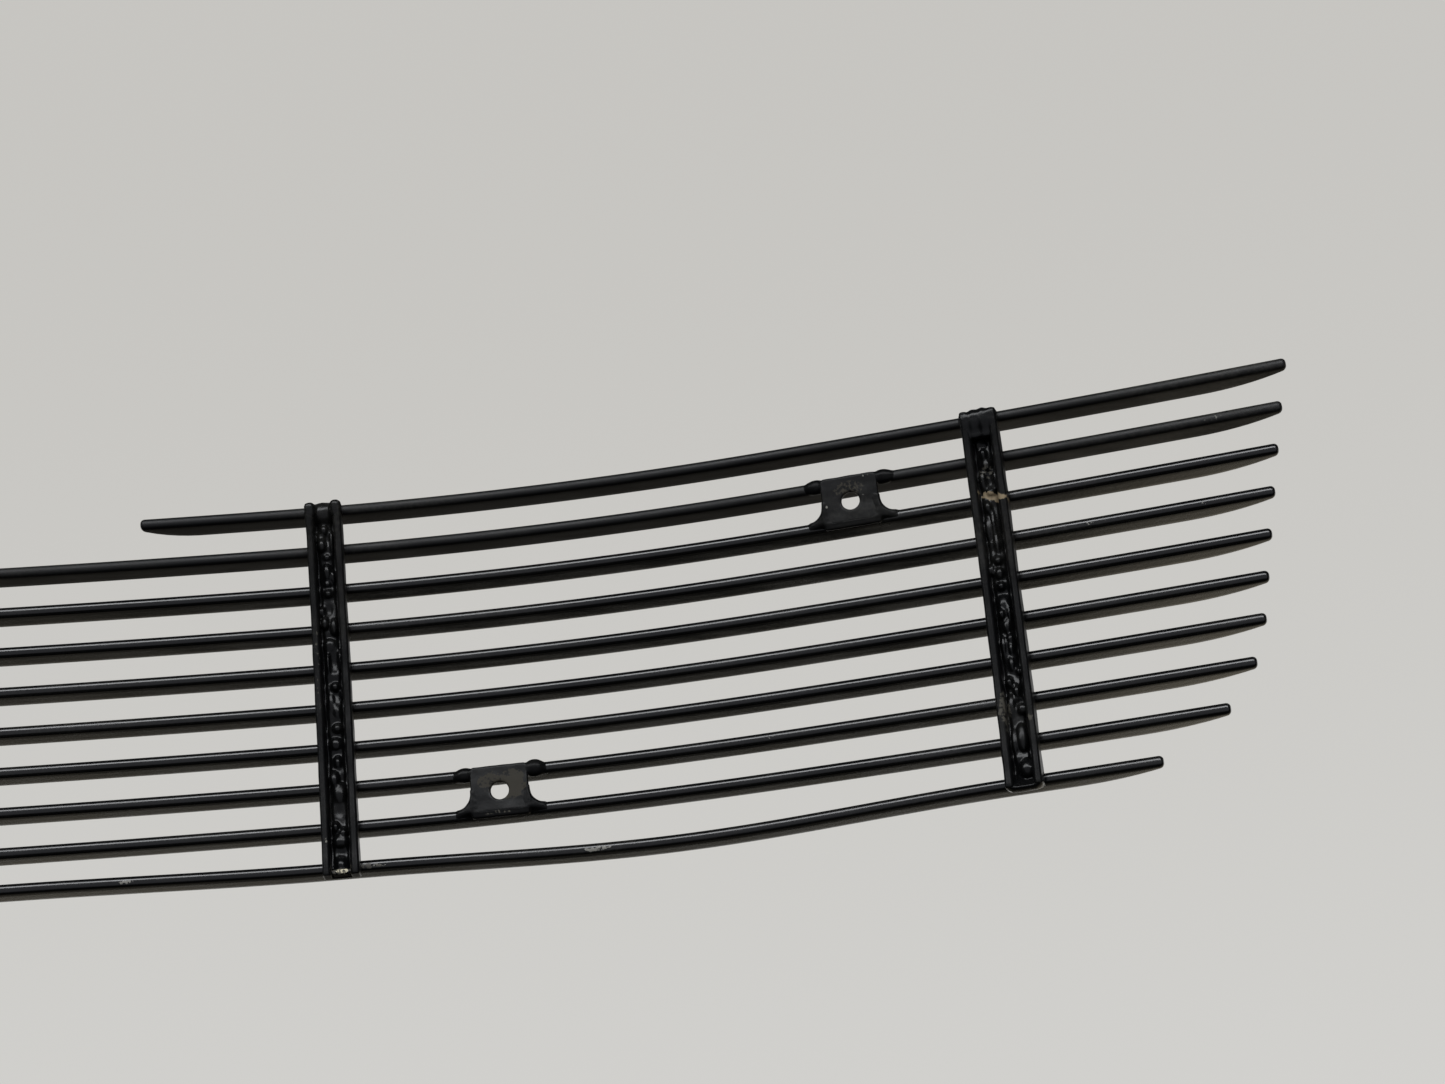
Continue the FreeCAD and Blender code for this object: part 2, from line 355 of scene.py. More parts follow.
def rounded_box(grid, low, high, radius):
    """Box between two corners, over the axes where both are given."""
    outside = []
    for g, a, b in zip(grid, low, high):
        if a is not None:
            outside.append(np.abs(g - (a + b) / 2) - (b - a) / 2 + radius)
    beyond = np.sqrt(sum(np.maximum(o, 0) ** 2 for o in outside))
    return beyond + np.minimum(np.maximum.reduce(outside), 0) - radius


# Bars

def taper_drop(into, length):
    """How far the front edge has swept back at a distance into the taper."""
    drop = BAR_DEPTH - TIP_DEPTH
    radius = (length ** 2 + drop ** 2) / (2 * drop)
    into = max(into, 0.0)
    return radius - math.sqrt(radius ** 2 - into ** 2)


def bar_stations(start, end):
    """Arc lengths of a bar's sections: even along it and close together at its rounded tips."""
    tip = TIP_ROUND * (1 - np.cos(np.linspace(0, np.pi / 2, 6)))
    count = int((end - start) / BAR_STEP)
    middle = np.linspace(start + TIP_ROUND, end - TIP_ROUND, count)[1:-1]
    return np.concatenate([start + tip, middle, end - tip[::-1]])


def bar_ring(s, row, start, end, tapers):
    """One section of a bar: shallower over its tapers and rounded off at its tips."""
    depth = BAR_DEPTH - taper_drop(start + tapers[0] - s, tapers[0])
    depth -= taper_drop(s - end + tapers[1], tapers[1])
    to_tip = min(s - start, end - s)
    inset = 0.0
    if to_tip < TIP_ROUND:
        inset = TIP_ROUND - math.sqrt(TIP_ROUND ** 2 - (TIP_ROUND - to_tip) ** 2)
    half = BAR_THICK / 2 - COAT_SHY - inset
    radius = min(BAR_EDGE_RADIUS, half - 0.1, depth / 2 - inset - 0.1)
    near, far = inset, depth - inset
    corners = [(near, -half, radius), (far, -half, radius), (far, half, radius), (near, half, radius)]
    loop = rounded_loop(corners, CORNER_STEPS, FLAT_STEPS)[0]
    x, y, heading, _ = plan_point(s)
    forward, up = loop.T
    ring_x = x + forward * math.sin(heading)
    ring_y = y - forward * math.cos(heading) + face_set_back(row_z(row))
    ring_z = row_z(row) + up
    if row == ROWS:
        ring_z = ring_z + bow_at(ring_x)
    return np.stack([ring_x, ring_y, ring_z], axis=1) - ORIGIN


def bar(node, row, start, end, tapers):
    rings = [bar_ring(s, row, start, end, tapers) for s in bar_stations(start, end)]
    points, faces = tube(rings)
    piece = new_piece("coated_" + node, points, faces, (len(faces) - 2, len(faces) - 1))
    finish_piece(piece, node, bar_material(node, row))


def all_bars():
    top = half_length(1)
    bar("top_bar_left", 1, -top, -TOP_GAP_HALF, (OUTER_TAPER, INNER_TAPER))
    bar("top_bar_right", 1, TOP_GAP_HALF, top, (INNER_TAPER, OUTER_TAPER))
    for row in range(2, ROWS + 1):
        end = half_length(row)
        bar("bar_row_%02d" % row, row, -end, end, (OUTER_TAPER, OUTER_TAPER))


# Channels and the weld beads inside them

CHANNEL_RIM = 1.2
CHANNEL_LIP = 1.7
CHANNEL_CORNER = 0.7
CHANNEL_FILLET = 0.9
CHANNEL_END_ROUND = 0.6
CHANNEL_STEP = 1.2
CHANNEL_WAVES = (0.22, 9.0)
CAPPED_SHORTER = 1.3


def channel_section(inset):
    half, inner = CHANNEL_WIDTH / 2, TROUGH_HALF
    corners = [
        (-half, SEAT_GAP, CHANNEL_CORNER), (half, SEAT_GAP, CHANNEL_CORNER),
        (half, CHANNEL_DEPTH, CHANNEL_RIM), (inner, CHANNEL_DEPTH, CHANNEL_LIP),
        (inner, WEB_BACK, CHANNEL_FILLET), (-inner, WEB_BACK, CHANNEL_FILLET),
        (-inner, CHANNEL_DEPTH, CHANNEL_LIP), (-half, CHANNEL_DEPTH, CHANNEL_RIM)]
    loop, normals = rounded_loop(corners, 5, 5)
    return loop - normals * inset


def channel(side_name, place):
    """Bent U-section, a little shorter than the weld metal that rounds its ends."""
    side = SIDES[side_name]
    low = CHANNEL_BOTTOM + (CAPPED_SHORTER if place == "outer" else 0.0)
    high = CHANNEL_TOP - CAPPED_SHORTER
    end = CHANNEL_END_ROUND * (1 - np.cos(np.linspace(0, np.pi / 2, 5)))
    count = int((high - low) / CHANNEL_STEP)
    middle = np.linspace(low + CHANNEL_END_ROUND, high - CHANNEL_END_ROUND, count)[1:-1]
    rings = []
    for z in np.concatenate([low + end, middle, high - end[::-1]]):
        to_end = min(z - low, high - z, CHANNEL_END_ROUND)
        inset = CHANNEL_END_ROUND - math.sqrt(CHANNEL_END_ROUND ** 2 - (CHANNEL_END_ROUND - to_end) ** 2)
        loop = channel_section(inset)
        rings.append(np.column_stack([loop, np.full(len(loop), z)]))
    points, faces = tube(rings)
    node = "channel_%s_%s" % (place, side_name)
    placed = on_channel(side, place)(points)
    piece = new_piece("coated_" + node, placed, faces, (len(faces) - 2, len(faces) - 1))
    roughen(piece, *CHANNEL_WAVES, side + len(place))
    finish_piece(piece, node, channel_material(node, side, place))


# Weld metal: cell size, how deep it goes under its neighbours, how softly its lumps and hollows
# run together, and its ripples
BEAD_STEP = 0.4
BEAD_HIDE = 0.15
BEAD_BLEND = 1.3
HOLLOW_BLEND = 1.2
BEAD_WAVES = (0.06, 2.2)
BED_HALF = 2.7
BED_DEEP = 0.9
BED_SWELL = 0.25
KEEP_ROUND = 0.2
END_HALF = 7.05
CAP_RIBS = 0.21

# Lumps and hollows of weld metal in a trough: (towards the guard's end, out of the web, up), half-sizes
INNER_LUMPS = (
    ((-0.3, 3.2, 62.6), (1.6, 1.8, 2.0)), ((-1.9, 2.6, 60.0), (1.5, 1.5, 1.8)),
    ((-1.4, 3.4, 56.6), (1.7, 2.0, 2.8)), ((2.5, 3.0, 57.8), (0.7, 2.0, 4.6)),
    ((0.2, 2.6, 51.8), (1.2, 1.4, 1.3)), ((0.0, 3.0, 45.6), (1.7, 2.1, 3.6)),
    ((2.3, 2.8, 43.5), (0.8, 1.5, 2.6)), ((-0.2, 2.8, 40.8), (1.3, 1.5, 1.2)),
    ((0.0, 2.9, 37.0), (1.6, 1.7, 1.7)), ((-2.6, 2.8, 30.0), (1.0, 1.6, 1.8)),
    ((-1.9, 3.6, 25.0), (1.5, 2.0, 2.6)), ((1.6, 3.8, 23.4), (1.4, 2.1, 3.4)),
    ((-0.6, 2.6, 16.5), (2.2, 1.6, 2.6)), ((-1.4, 3.0, 9.0), (0.8, 1.8, 4.2)),
    ((3.0, 3.2, 9.8), (0.8, 1.9, 4.2)), ((0.8, 3.4, -0.8), (1.5, 1.8, 1.8)),
    ((3.2, 2.8, -4.0), (0.8, 1.5, 1.8)), ((-1.2, 2.6, -6.5), (1.3, 1.4, 3.6)),
    ((1.0, 2.6, -10.5), (1.2, 1.5, 2.6)), ((0.8, 3.2, -17.4), (1.8, 1.7, 1.8)),
    ((-0.2, 2.9, -23.5), (2.0, 1.5, 2.4)), ((0.3, 2.9, -31.0), (1.4, 1.6, 2.4)),
    ((-1.3, 3.7, -37.8), (1.8, 2.1, 3.2)), ((0.4, 3.0, -43.4), (2.6, 2.0, 4.0)),
    ((-1.6, 3.2, -56.8), (1.3, 1.7, 2.0)), ((1.2, 3.2, -59.2), (1.3, 1.6, 1.6)),
    ((0.0, 2.8, -62.4), (2.9, 1.9, 2.6)),
)
INNER_HOLLOWS = (
    ((0.8, 5.4, 9.0), (1.7, 3.6, 4.2)), ((0.0, 5.4, 30.5), (1.8, 3.4, 3.0)),
    ((0.0, 6.2, -51.0), (2.0, 3.6, 3.0)), ((0.0, 5.4, -67.4), (2.0, 3.8, 2.4)),
)
OUTER_LUMPS = (
    ((-0.2, 3.6, 56.2), (1.2, 1.8, 2.4)), ((0.4, 3.0, 52.0), (1.8, 1.7, 2.2)),
    ((-1.8, 2.8, 46.5), (1.4, 1.6, 3.4)), ((2.9, 2.8, 46.0), (0.9, 1.8, 4.0)),
    ((0.8, 3.2, 41.2), (1.6, 1.6, 1.6)), ((-1.2, 3.0, 35.5), (1.5, 1.7, 2.4)),
    ((0.2, 2.8, 28.5), (0.9, 1.7, 5.2)), ((-2.2, 2.8, 27.0), (1.0, 1.5, 4.2)),
    ((0.5, 2.7, 20.5), (0.9, 1.7, 4.0)), ((0.0, 3.2, 14.0), (1.5, 1.7, 1.8)),
    ((-2.7, 2.8, 10.8), (0.9, 1.5, 2.2)), ((0.0, 3.0, 9.0), (1.6, 1.7, 2.4)),
    ((0.0, 3.1, 3.8), (1.4, 1.7, 1.6)), ((0.0, 2.8, -3.4), (2.2, 1.8, 3.4)),
    ((-1.0, 3.9, -7.3), (1.2, 1.6, 2.0)), ((1.8, 3.2, -7.0), (0.8, 1.8, 3.4)),
    ((0.2, 2.8, -12.0), (1.6, 1.8, 2.8)), ((1.0, 3.0, -17.0), (1.4, 1.7, 2.0)),
    ((0.8, 2.9, -21.0), (1.1, 1.8, 2.6)), ((-2.0, 2.8, -19.5), (0.9, 1.6, 4.2)),
    ((0.3, 2.8, -27.0), (1.2, 1.6, 2.8)), ((0.9, 2.8, -37.6), (1.2, 1.6, 2.4)),
    ((2.6, 3.0, -30.2), (0.9, 1.6, 1.6)), ((-1.4, 3.2, -34.0), (1.4, 1.7, 2.0)),
    ((2.2, 3.4, -45.0), (1.9, 2.0, 2.2)), ((-1.8, 2.9, -43.0), (1.5, 1.6, 4.2)),
    ((1.0, 3.3, -56.0), (2.1, 2.1, 5.4)), ((-2.2, 2.8, -57.0), (1.0, 1.6, 4.6)),
)
OUTER_HOLLOWS = (
    ((0.9, 5.4, 45.4), (1.5, 3.8, 2.8)), ((1.6, 5.2, -41.8), (1.0, 3.6, 1.1)),
    ((0.2, 5.4, 60.0), (2.4, 3.6, 1.8)),
)
LUMPS = {"inner": INNER_LUMPS, "outer": OUTER_LUMPS}
HOLLOWS = {"inner": INNER_HOLLOWS, "outer": OUTER_HOLLOWS}


def trough_beads(grid, side, place):
    """Soft bed of weld metal down the trough with its lumps and hollows."""
    outward = grid.copy()
    outward[0] *= side
    low = (-BED_HALF, 1.0, CHANNEL_BOTTOM + 1)
    high = (BED_HALF, WEB_BACK + BED_DEEP, CHANNEL_TOP - 1)
    bed = rounded_box(grid, low, high, BED_DEEP)
    field = bed + BED_SWELL * np.sin(grid[2] * 0.8 + 1.5 * np.sin(grid[2] * 0.31))
    for centre, radii in LUMPS[place]:
        field = smooth_min(field, ellipsoid(outward, centre, radii), BEAD_BLEND)
    for centre, radii in HOLLOWS[place]:
        field = smooth_max(field, -ellipsoid(outward, centre, radii), HOLLOW_BLEND)
    return field


def channel_walls(grid, low, high):
    """The channel itself, drawn in by a little so that it stays under the real one's surface."""
    half, inner = CHANNEL_WIDTH / 2, TROUGH_HALF
    body = rounded_box(grid, (-half, SEAT_GAP, low), (half, CHANNEL_DEPTH, high), CHANNEL_RIM)
    past_ends = 9
    trough_low = (-inner, WEB_BACK, low - past_ends)
    trough_high = (inner, 3 * CHANNEL_DEPTH, high + past_ends)
    trough = rounded_box(grid, trough_low, trough_high, CHANNEL_FILLET)
    return smooth_max(body, -trough, CHANNEL_LIP) + BEAD_HIDE


def inner_ends(grid, side):
    """Two rounded ears with filled metal between them on top, and a thin ledge at the bottom."""
    top, bottom, back = CHANNEL_TOP, CHANNEL_BOTTOM, CHANNEL_DEPTH
    inward = grid.copy()
    inward[0] *= -side
    ear_in = rounded_box(inward, (3.0, SEAT_GAP, top - 7), (END_HALF, back, top - 0.9), 1.9)
    ear_out = rounded_box(inward, (-END_HALF, SEAT_GAP, top - 7), (-2.7, back, top - 0.35), 2.0)
    fill = ellipsoid(inward, (0.2, 1.4, top - 4.6), (5.0, 4.4, 5.0))
    ears = smooth_min(np.minimum(ear_in, ear_out), fill, 2.6)
    ledge = rounded_box(grid, (-3.3, 1.5, bottom + 0.6), (3.3, 5.2, bottom + 2.8), 0.7)
    nose = ellipsoid(grid, (0.2, 2.0, bottom + 5.0), (2.2, 2.4, 3.0))
    return smooth_min(ears, smooth_min(ledge, nose, 0.5), 0.5)


def outer_ends(grid, side):
    """Weld caps: two swollen lobes over the top, a smooth thumb and rounded foot at the bottom."""
    top, bottom, back = CHANNEL_TOP, CHANNEL_BOTTOM, CHANNEL_DEPTH
    inward = grid.copy()
    inward[0] *= -side
    low_lobe = rounded_box(inward, (-4.0, SEAT_GAP, top - 9.5), (7.8, back + 0.1, top - 0.9), 3.4)
    high_lobe = rounded_box(inward, (-7.2, SEAT_GAP, top - 9.0), (3.6, back + 0.2, top - 0.45), 3.2)
    throat = rounded_box(inward, (-4.0, 1.5, top - 12.2), (4.0, 7.3, top - 2), 1.2)
    cap = smooth_min(smooth_min(low_lobe, high_lobe, 1.6), throat, 1.4)
    cap = cap + CAP_RIBS * np.cos(inward[0] * 1.43 - 0.4)
    foot_low = (-END_HALF, SEAT_GAP, bottom + 0.1)
    foot = rounded_box(grid, foot_low, (END_HALF, back - 0.2, bottom + 13), 2.9)
    slope = (grid[1] - back + grid[2] - bottom - 0.4) * math.sqrt(0.5)
    foot = smooth_max(foot, slope, 0.5)
    thumb = ellipsoid(inward, (-1.5, 3.6, bottom + 8.4), (2.9, 3.4, 3.8))
    for step in (0.0, 1.0, 2.0):
        knot_at = (-3.3 - step, 5.2 - 0.2 * step, bottom + 8.0 - 1.5 * step)
        thumb = smooth_min(thumb, ellipsoid(inward, knot_at, (1.2, 1.5, 1.5)), 0.9)
    return smooth_min(cap, smooth_min(foot, thumb, 1.1), 0.8)


def channel_beads(side_name, place):
    """Weld metal of one channel, kept to the trough and to the ends that it covers."""
    side = SIDES[side_name]
    outer = place == "outer"
    half = CHANNEL_WIDTH / 2 + 2.2
    far_back = CHANNEL_DEPTH + 2
    low = (-half, 0.0, CHANNEL_BOTTOM - 1)
    grid = sample_grid(low, (half, CHANNEL_DEPTH + 2.2, CHANNEL_TOP + 1), BEAD_STEP)
    short = CAPPED_SHORTER if outer else 0.0
    walls = channel_walls(grid, CHANNEL_BOTTOM + short, CHANNEL_TOP - CAPPED_SHORTER)
    field = trough_beads(grid, side, place)
    ends = outer_ends(grid, side) if outer else inner_ends(grid, side)
    field = smooth_min(smooth_min(field, ends, BEAD_BLEND), walls, BEAD_BLEND)
    keep_low = (-TROUGH_HALF - 0.9, 1.3, CHANNEL_BOTTOM + 0.3)
    keep_high = (TROUGH_HALF + 0.9, far_back, CHANNEL_TOP - 0.3)
    keep = rounded_box(grid, keep_low, keep_high, KEEP_ROUND)
    covered = [(CHANNEL_TOP - (13 if outer else 10), CHANNEL_TOP - 0.25)]
    if outer:
        covered.append((CHANNEL_BOTTOM, CHANNEL_BOTTOM + 10.5))
    for z_low, z_high in covered:
        end_low, end_high = (-half + 0.6, 0.2, z_low), (half - 0.6, far_back, z_high)
        keep = np.minimum(keep, rounded_box(grid, end_low, end_high, KEEP_ROUND))
    points, faces = skin(np.maximum(field, keep), low, BEAD_STEP)
    node = "channel_welds_%s_%s" % (place, side_name)
    piece = new_piece("beads_%s_%s" % (place, side_name), on_channel(side, place)(points), faces)
    roughen(piece, *BEAD_WAVES, 4 + side)
    finish_piece(piece, node, bead_material(node, side, place))


# Tabs and their corner welds

TAB_STEP = 0.35
TAB_CORNER = 1.6
TAB_EDGE = 0.75
TAB_WAVES = (0.16, 5.0)
TAB_FOOT = -PITCH / 2 + BAR_THICK / 2 - TAB_OVER_LOWER_BAR
FLARE_OUT = 5.8
FLARE_UP = 6.5
BIG_LOBE = 1.2
LOBE_OUT = 2.0
LOBE_BACK = -0.9
LOBE_SIZE = (4.2, 2.5, 2.85)
WELD_BLEND = 1.5
WELD_WAVES = (0.08, 2.0)


def tab_plate(grid):
    """Flat plate with rounded corners and edges and a bolt hole."""
    half = TAB_WIDTH / 2
    high = PITCH / 2 + BAR_THICK / 2
    plate = rounded_box(grid, (-half, None, TAB_FOOT), (half, None, high), TAB_CORNER)
    hole = TAB_HOLE_RADIUS - np.hypot(grid[0], grid[2])
    outline = smooth_max(plate, hole, 0.2)
    slab = np.abs(grid[1] - SEAT_GAP - TAB_THICK / 2) - TAB_THICK / 2
    corner = np.hypot(np.maximum(outline + TAB_EDGE, 0), np.maximum(slab + TAB_EDGE, 0))
    return corner + np.minimum(np.maximum(outline, slab) + TAB_EDGE, 0) - TAB_EDGE


def tab(side_name, name):
    side = SIDES[side_name]
    low = (-TAB_WIDTH / 2 - 1, -1.0, -PITCH)
    grid = sample_grid(low, (TAB_WIDTH / 2 + 1, TAB_THICK + 1, PITCH), TAB_STEP)
    points, faces = skin(tab_plate(grid), low, TAB_STEP)
    node = "tab_%s_%s" % (name, side_name)
    piece = new_piece("coated_" + node, on_tab(side, name)(points), faces)
    roughen(piece, *TAB_WAVES, 2 + side)
    finish_piece(piece, node, tab_material(node, side, name, PLATE_FINISH))


def two_bars(grid):
    """The bars above and below a tab."""
    bars = []
    for z in (-PITCH / 2, PITCH / 2):
        low, high = (None, -BAR_DEPTH, z - BAR_THICK / 2), (None, 0.0, z + BAR_THICK / 2)
        bars.append(rounded_box(grid, low, high, BAR_EDGE_RADIUS))
    return np.minimum(bars[0], bars[1])


def flare(grid, hand):
    """Concave corner weld that spreads from the tab's side along the lower bar."""
    out = hand * grid[0] - TAB_WIDTH / 2
    rise = grid[2] + PITCH / 2 - BAR_THICK / 2
    hollow = 1 - np.hypot((FLARE_OUT - out) / FLARE_OUT, (FLARE_UP - rise) / FLARE_UP)
    sides = [hollow * FLARE_OUT, out - FLARE_OUT, rise - FLARE_UP, -1.5 - out, -2.6 - rise]
    outline = np.maximum.reduce(sides)
    back = 2.05 - 1.8 * np.clip(out / FLARE_OUT, 0, 1) ** 1.2 - 0.4 * np.clip(-out / 2, 0, 1)
    slab = np.maximum(grid[1] - back, -1.6 - grid[1])
    return smooth_max(outline, slab, 1.3)


def tab_beads(side_name, name):
    """Two flares and a seam on the lower bar, and two lobes on the upper bar."""
    side = SIDES[side_name]
    draw = random.Random(name + side_name)
    half = TAB_WIDTH / 2
    reach = half + FLARE_OUT + 2.5
    low = (-reach, -4.0, -PITCH / 2 - 4)
    grid = sample_grid(low, (reach, 5.0, PITCH / 2 + 5.5), BEAD_STEP)
    solid = np.minimum(two_bars(grid), tab_plate(grid)) + BEAD_HIDE
    keep = np.full(grid.shape[1:], 1e3)
    for hand in (-1, 1):
        big = BIG_LOBE if name == "lower_inner" and hand == side else 1.0
        length, deep, tall = LOBE_SIZE
        lobe_at = (hand * (half + LOBE_OUT * big), LOBE_BACK, PITCH / 2 + draw.uniform(0, 0.2))
        lobe = ellipsoid(grid, lobe_at, (length, deep * big, tall * big))
        solid = smooth_min(solid, smooth_min(lobe, flare(grid, hand), 0.6), WELD_BLEND)
        near, far = sorted((hand * (half - 3.2), hand * (reach - 0.8)))
        for z_low, z_high in ((-PITCH / 2 - 3, 1.8), (PITCH / 2 - 4.2, PITCH / 2 + 5)):
            weld_box = rounded_box(grid, (near, -3.3, z_low), (far, 4.3, z_high), KEEP_ROUND)
            keep = np.minimum(keep, weld_box)
    seam_low, seam_high = (-half, -0.6, TAB_FOOT - 1.7), (half, TAB_THICK - 0.1, TAB_FOOT + 1.4)
    solid = smooth_min(solid, rounded_box(grid, seam_low, seam_high, 0.9), 0.8)
    box_low, box_high = (-half, -0.4, TAB_FOOT - 2.2), (half, 3.5, TAB_FOOT + 0.9)
    keep = np.minimum(keep, rounded_box(grid, box_low, box_high, KEEP_ROUND))
    points, faces = skin(np.maximum(solid, keep), low, BEAD_STEP)
    node = "tab_welds_%s_%s" % (name, side_name)
    piece = new_piece("beads_%s_%s" % (name, side_name), on_tab(side, name)(points), faces)
    roughen(piece, *WELD_WAVES, 6 + side)
    finish_piece(piece, node, tab_material(node, side, name, WELD_FINISH))


# Materials

class Nodes:
    """Node tree with a short way to add and link its nodes."""

    def __init__(self, tree, place):
        self.tree = tree
        self.place = self.add("ShaderNodeTexCoord", {}).outputs[place]

    def add(self, kind, inputs, **settings):
        node = self.tree.nodes.new(kind)
        for key, value in settings.items():
            setattr(node, key, value)
        for key, value in inputs.items():
            if isinstance(value, bpy.types.NodeSocket):
                self.tree.links.new(value, node.inputs[key])
            else:
                node.inputs[key].default_value = value
        return node

    def noise(self, size, detail=3.0, stretch=(1, 1, 1), rough=0.55):
        """Noise whose features are about size millimetres, longer where stretch is more than 1."""
        scaled = self.add("ShaderNodeMapping", {"Vector": self.place, "Scale": [1 / s for s in stretch]})
        made = self.add("ShaderNodeTexNoise", {"Vector": scaled.outputs[0], "Scale": 1 / (size * MM),
                                               "Detail": detail, "Roughness": rough})
        return made.outputs[0]

    def ramp(self, value, low, high, to_low=0.0, to_high=1.0):
        made = self.add("ShaderNodeMapRange", {"Value": value, "From Min": low, "From Max": high,
                                               "To Min": to_low, "To Max": to_high})
        made.interpolation_type = "SMOOTHSTEP"
        return made.outputs[0]

    def maths(self, operation, a, b):
        return self.add("ShaderNodeMath", {0: a, 1: b}, operation=operation).outputs[0]

    def mix(self, share, a, b):
        return self.add("ShaderNodeMix", {0: share, 6: a, 7: b}, data_type="RGBA").outputs[2]

    def facing_up(self):
        normal = self.add("ShaderNodeNewGeometry", {}).outputs["Normal"]
        return self.add("ShaderNodeSeparateXYZ", {0: normal}).outputs["Z"]

    def patch(self, at, size, turn, grain, cover):
        """Mask of a broken patch: at and half-sizes in millimetres, turn about Z and tilt in it."""
        local = self.add("ShaderNodeMapping", {
            "Vector": self.place, "Location": [c * MM for c in at], "Rotation": (0, turn[1], turn[0]),
            "Scale": [c * MM for c in size]}, vector_type="TEXTURE")
        away = self.add("ShaderNodeVectorMath", {0: local.outputs[0]}, operation="LENGTH")
        inside = self.ramp(away.outputs["Value"], 0.35, 1.0, 1.0, 0.0)
        level = self.add("ShaderNodeMath", {0: self.noise(grain, 4.0), 1: 2.0, 2: inside},
                         operation="MULTIPLY_ADD").outputs[0]
        broken = self.ramp(level, 2.5 - cover, 2.65 - cover)
        return self.maths("MULTIPLY", broken, self.ramp(inside, 0.0, 0.25))


class MaterialNodes(Nodes):
    """Node tree of a new material, placed by its piece's own coordinates."""

    def __init__(self, name):
        self.material = bpy.data.materials.new(name)
        self.material.use_nodes = True
        super().__init__(self.material.node_tree, "Object")
        self.shader = self.tree.nodes["Principled BSDF"]


def rgba(r, g, b):
    return (r, g, b, 1.0)


COAT_BLACK = rgba(0.0028, 0.0029, 0.0031)
COAT_WORN = rgba(0.0058, 0.0058, 0.0055)
DUST = rgba(0.060, 0.056, 0.046)
BARE_METAL = rgba(0.50, 0.46, 0.34)
TAN_SMEAR = rgba(0.21, 0.165, 0.105)
GREY_SCUFF = rgba(0.17, 0.165, 0.145)
TAB_DUST = rgba(0.030, 0.027, 0.021)


def coat(name, rough, dust, peel=0.035, shine=0.5, marks=()):
    """Black powder coat: orange peel, worn and dusty patches, and any marks of its own.

    Each mark is its mask's settings and its colour.
    """
    nodes = MaterialNodes(name)
    patches = nodes.ramp(nodes.noise(38, 4.0, (2.5, 1, 1)), 0.42, 0.72)
    grains = nodes.ramp(nodes.noise(1.6, 5.0), 0.38, 0.68)
    lying = nodes.ramp(nodes.facing_up(), 0.2, 0.95, 0.35, 1.0)
    dusty = nodes.maths("MULTIPLY", nodes.maths("MULTIPLY", patches, grains), lying)
    dusty = nodes.maths("MULTIPLY", dusty, dust)
    colour = nodes.mix(patches, COAT_BLACK, COAT_WORN)
    colour = nodes.mix(dusty, colour, DUST)
    roughness = nodes.ramp(nodes.noise(11, 3.0, (3, 1, 1)), 0.3, 0.7, rough - 0.05, rough + 0.07)
    roughness = nodes.maths("ADD", roughness, nodes.maths("MULTIPLY", dusty, 0.5))
    for settings, mark_colour in marks:
        mask = nodes.patch(**settings)
        colour = nodes.mix(mask, colour, mark_colour)
        roughness = nodes.maths("ADD", roughness, nodes.maths("MULTIPLY", mask, 0.3))
    waves = nodes.add("ShaderNodeBump", {"Height": nodes.noise(2.2, 2.0), "Strength": 1.0,
                                         "Distance": peel * MM})
    grit = nodes.add("ShaderNodeBump", {"Height": nodes.noise(0.45, 2.0), "Strength": 1.0,
                                        "Distance": 0.006 * MM, "Normal": waves.outputs[0]})
    nodes.tree.links.new(colour, nodes.shader.inputs["Base Color"])
    nodes.tree.links.new(roughness, nodes.shader.inputs["Roughness"])
    nodes.tree.links.new(grit.outputs[0], nodes.shader.inputs["Normal"])
    nodes.shader.inputs["Specular IOR Level"].default_value = shine
    return nodes.material


def mark_on(at, size, turn, grain, cover):
    """A mark's mask settings, as the patch function takes them."""
    return {"at": at, "size": size, "turn": turn, "grain": grain, "cover": cover}


def bar_spot(s, row, up):
    """Row-frame millimetres of a point on a bar's back, and the bar's heading there."""
    x, y, heading, _ = plan_point(s)
    at = np.array([x, y + face_set_back(row_z(row)), row_z(row) + up])
    if row == ROWS:
        at[2] += float(bow_at(at[0]))
    return tuple(at - ORIGIN), heading


# A bar's marks lie a little under its middle line and go this deep
MARK_UP = -0.3
MARK_DEEP = 3.0


def bar_mark(s, row, length, height, grain, cover, colour):
    at, heading = bar_spot(s, row, MARK_UP)
    return mark_on(at, (length, MARK_DEEP, height), (heading, 0.0), grain, cover), colour


# Marks by row: arc length from the middle, half-length, half-height, grain, cover, colour
BAR_MARKS = {
    2: ((-478, 14, 2.4, 1.0, 0.28, GREY_SCUFF),),
    4: ((-470, 12, 2.2, 1.0, 0.25, GREY_SCUFF), (-425, 4, 1.5, 0.8, 0.35, GREY_SCUFF)),
    8: ((-296, 5, 1.2, 1.2, 0.40, GREY_SCUFF),),
    10: ((-45, 6, 1.4, 1.4, 0.60, GREY_SCUFF), (-224, 9, 1.6, 1.6, 0.65, GREY_SCUFF),
         (-137, 9, 2.2, 1.8, 0.60, DUST), (-141, 6, 1.4, 1.0, 0.45, GREY_SCUFF)),
}
DULL_ROWS = (1, 2)
DUSTY_ROWS = (1, 2, ROWS)
HEAVY_DUST = 0.55
LIGHT_DUST = 0.3
DULL = {"rough": 0.46, "shine": 0.28}
CLEAN = {"rough": 0.17, "shine": 0.5}
CHANNEL_FINISH = {"rough": 0.34, "dust": 0.4, "peel": 0.05, "shine": 0.09}
BEAD_FINISH = {"rough": 0.24, "dust": 0.2, "peel": 0.05, "shine": 0.2}
PLATE_FINISH = {"rough": 0.36, "dust": 0.3, "peel": 0.06, "shine": 0.13}
WELD_FINISH = {"rough": 0.36, "dust": 0.12, "peel": 0.06, "shine": 0.08}


